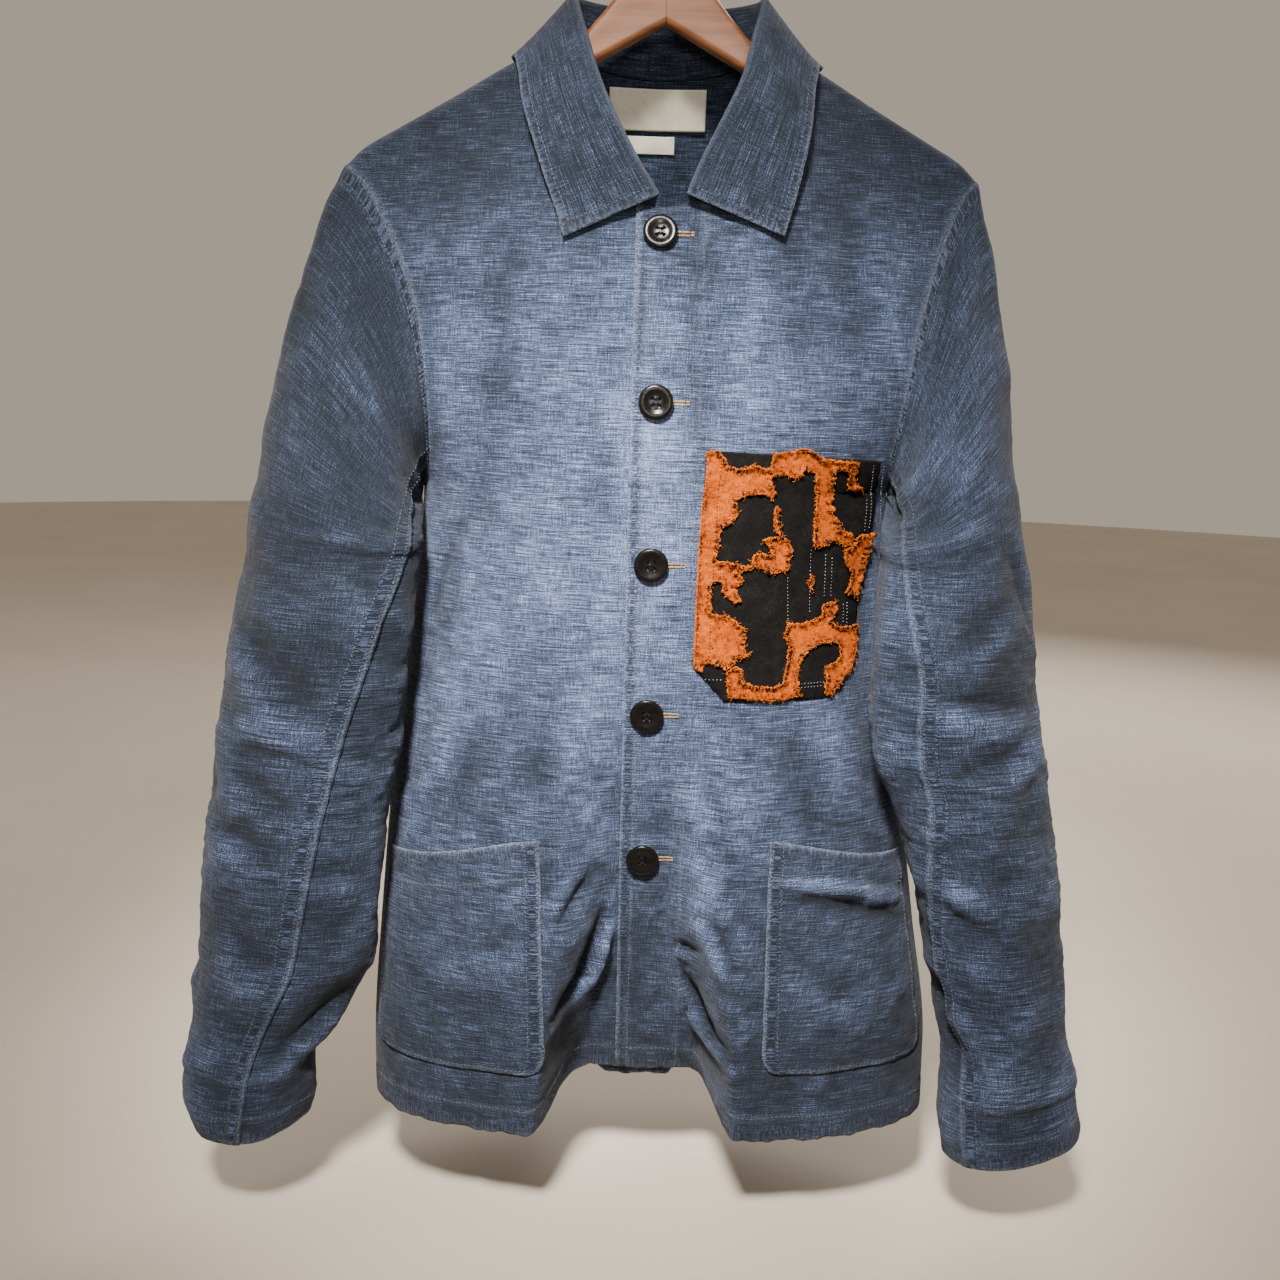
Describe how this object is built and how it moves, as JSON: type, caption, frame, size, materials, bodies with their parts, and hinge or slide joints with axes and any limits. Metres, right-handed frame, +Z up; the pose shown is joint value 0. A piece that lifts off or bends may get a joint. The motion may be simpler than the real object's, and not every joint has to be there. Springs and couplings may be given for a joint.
{
  "type": "patched work jacket on a wooden hanger",
  "caption": "Buttoned indigo work jacket with collar, two-piece sleeves, lower patch pockets and a patched chest pocket, hanging on a shaped wooden hanger with a wire hook.",
  "frame": {"origin": "inside top of the hanger's hook, where a rail holds it", "axes": "+Z up, the jacket's front faces -Y, its wearer's left side is at +X"},
  "size_m": [0.651, 0.1995, 0.8877],
  "materials": {
    "indigo_cloth": "slubby washed weave",
    "black_cloth": "matte worn weave",
    "orange_cloth": "frayed coarse weave",
    "dark_button": "polished",
    "woven_label": "satin woven",
    "hanger_wood": "satin varnish",
    "hook_steel": "plated wire"
  },
  "bodies": {
    "root": {"front_left": "indigo_cloth", "front_right": "indigo_cloth", "back": "indigo_cloth", "top_sleeve_left": "indigo_cloth", "under_sleeve_left": "indigo_cloth", "top_sleeve_right": "indigo_cloth", "under_sleeve_right": "indigo_cloth", "collar": "indigo_cloth", "pocket_left": "indigo_cloth", "pocket_right": "indigo_cloth", "chest_pocket": "black_cloth", "patch_left_strip": "orange_cloth", "patch_top_strip": "orange_cloth", "patch_middle": "orange_cloth", "patch_right_scrap": "orange_cloth", "patch_lower_left": "orange_cloth", "patch_lower_right": "orange_cloth", "button_1": "dark_button", "button_2": "dark_button", "button_3": "dark_button", "button_4": "dark_button", "button_5": "dark_button", "label_main": "woven_label", "label_size": "woven_label", "hanger_body": "hanger_wood", "hook": "hook_steel"}
  },
  "joints": []
}
